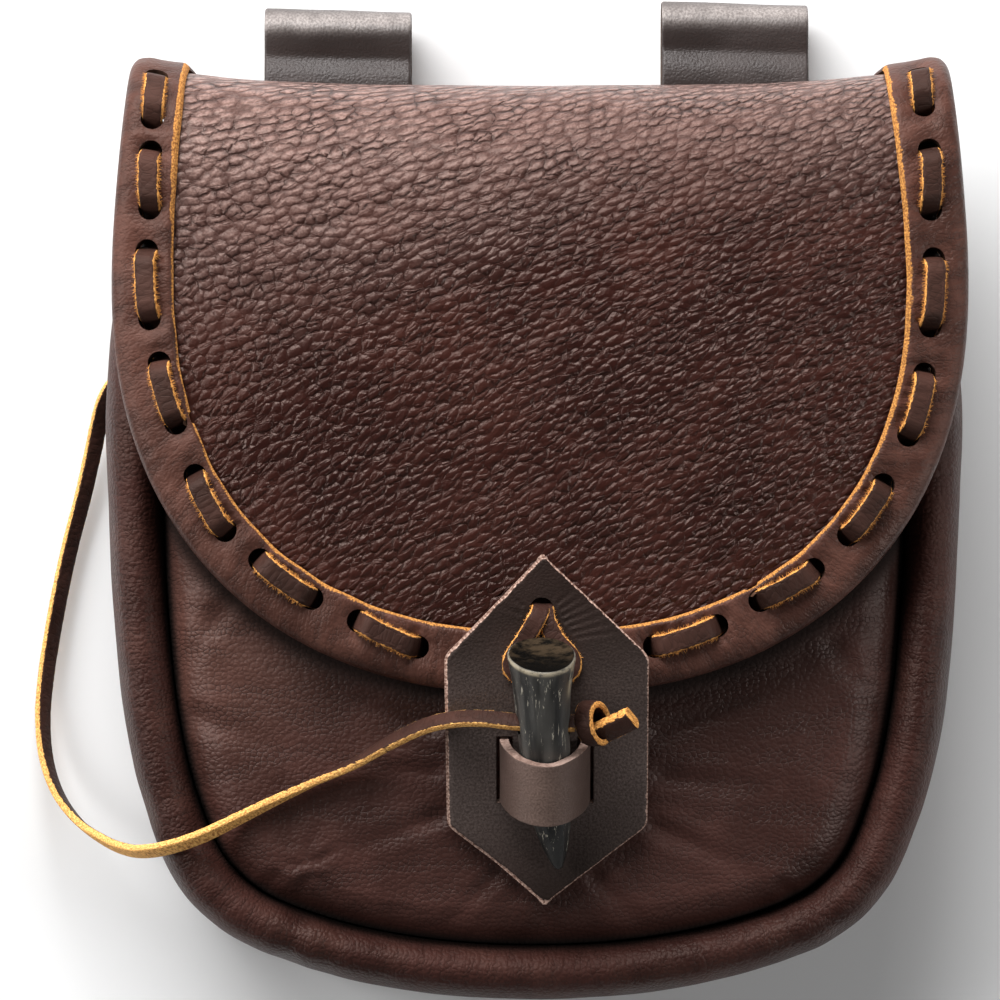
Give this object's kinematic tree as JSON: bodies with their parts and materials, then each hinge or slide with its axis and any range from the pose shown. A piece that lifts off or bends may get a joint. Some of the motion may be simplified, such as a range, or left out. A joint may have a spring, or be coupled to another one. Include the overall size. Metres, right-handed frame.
{
  "type": "belt pouch",
  "caption": "Leather belt pouch with a rounded laced flap, a horn peg closing through a leather loop, a tether lace and belt loops behind, lying on its back.",
  "frame": {"origin": "on the table under the middle of the pouch, which lies on its back", "axes": "+X to the pouch's right as seen from its front, +Y to its top, +Z out of its front"},
  "size_m": [0.1891, 0.2028, 0.076],
  "materials": {
    "back_panel_leather": "satin",
    "gusset_leather": "satin",
    "front_panel_leather": "satin",
    "flap_leather": "pebbled satin",
    "flap_binding_leather": "satin",
    "flap_lacing_leather": "matte with raw edges",
    "closure_patch_leather": "satin",
    "patch_lace_leather": "matte with raw edges",
    "toggle_loop_leather": "satin",
    "horn": "polished horn",
    "tether_lace_leather": "matte with raw edges",
    "tether_knot_leather": "matte with raw edges",
    "belt_loop_left_leather": "smooth satin",
    "belt_loop_right_leather": "smooth satin"
  },
  "bodies": {
    "root": {"back_panel": "back_panel_leather", "gusset": "gusset_leather", "front_panel": "front_panel_leather", "flap": "flap_leather", "flap_binding": "flap_binding_leather", "flap_lacing": "flap_lacing_leather", "closure_patch": "closure_patch_leather", "patch_lace": "patch_lace_leather", "toggle_loop": "toggle_loop_leather", "horn_toggle": "horn", "tether_lace": "tether_lace_leather", "tether_knot": "tether_knot_leather", "belt_loop_left": "belt_loop_left_leather", "belt_loop_right": "belt_loop_right_leather"}
  },
  "joints": []
}
